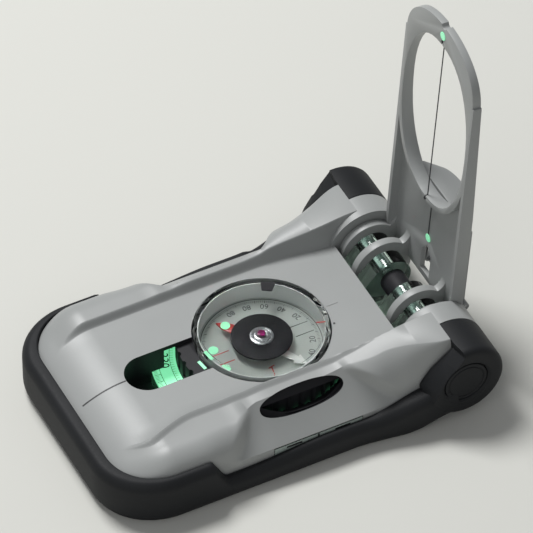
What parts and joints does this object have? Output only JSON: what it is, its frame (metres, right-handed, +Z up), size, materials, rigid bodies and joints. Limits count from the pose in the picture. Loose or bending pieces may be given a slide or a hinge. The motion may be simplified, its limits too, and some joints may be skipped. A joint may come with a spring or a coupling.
{
  "type": "mirror compass",
  "caption": "Sighting compass in a rubber-edged case with a turning dial, a capsule with needle, and a hinged lid with an oval window, wire and mirror leaf.",
  "frame": {"origin": "on the resting plane, under the axis of the rotating dial", "axes": "+X from the dial to the lid hinge, +Y to the side of the dial's far thumb window, +Z up out of the capsule"},
  "size_m": [0.1107, 0.0716, 0.0984],
  "materials": {
    "painted_plastic": "satin silver-grey paint",
    "clear_plate": "clear polycarbonate with green edges",
    "rubber": "matt soft rubber",
    "black_plastic": "fine grain",
    "steel": "turned",
    "luminous": "luminous paint",
    "clear_capsule": "polished",
    "pale_card": "printed",
    "red_paint": "gloss",
    "ruby": "polished",
    "mirror_face": "polished"
  },
  "bodies": {
    "case": {"top_shell": "painted_plastic", "base_plate": "clear_plate", "bumper": "rubber", "ear_caps": "rubber", "hinge_pin": "steel", "hinge_hub": "black_plastic", "case_screws": "steel", "rear_index": "red_paint"},
    "dial": {"dial_ring": "black_plastic", "scale_ring": "luminous", "capsule_cover": "clear_capsule", "capsule_base": "pale_card", "capsule_seal": "black_plastic", "dial_card": "pale_card", "orienting_dots": "luminous", "dial_marker": "black_plastic", "pivot_post": "steel"},
    "needle": {"needle": "red_paint", "needle_disc": "black_plastic", "needle_magnet": "steel", "needle_bearing": "steel", "needle_jewel": "ruby", "needle_dot": "luminous"},
    "slope_pointer": {"clino_pointer": "pale_card"},
    "lid": {"lid_frame": "painted_plastic", "sighting_wire": "steel", "wire_anchors": "steel", "upper_dot": "luminous", "lower_dot": "luminous", "mirror_pin": "steel"},
    "mirror": {"mirror_leaf": "painted_plastic", "mirror_plate": "mirror_face"}
  },
  "joints": [
    {"name": "dial_turn", "type": "hinge", "parent": "case", "child": "dial", "pos_m": [0, 0, 0.0084], "axis": [0, 0, 1], "continuous": true},
    {"name": "needle_swing", "type": "hinge", "parent": "dial", "child": "needle", "pos_m": [0, 0, 0.0128], "axis": [0, 0, 1], "continuous": true},
    {"name": "slope_pointer_swing", "type": "hinge", "parent": "dial", "child": "slope_pointer", "pos_m": [0, 0, 0.0116], "axis": [0, 0, 1], "continuous": true},
    {"name": "lid_hinge", "type": "hinge", "parent": "case", "child": "lid", "pos_m": [0.03805, 0, 0.01295], "axis": [0, 1, 0], "range_deg": [-94, 36]},
    {"name": "mirror_hinge", "type": "hinge", "parent": "lid", "child": "mirror", "pos_m": [0.04793, 0, 0.01667], "axis": [0, 1, 0], "range_deg": [0, 60]}
  ]
}
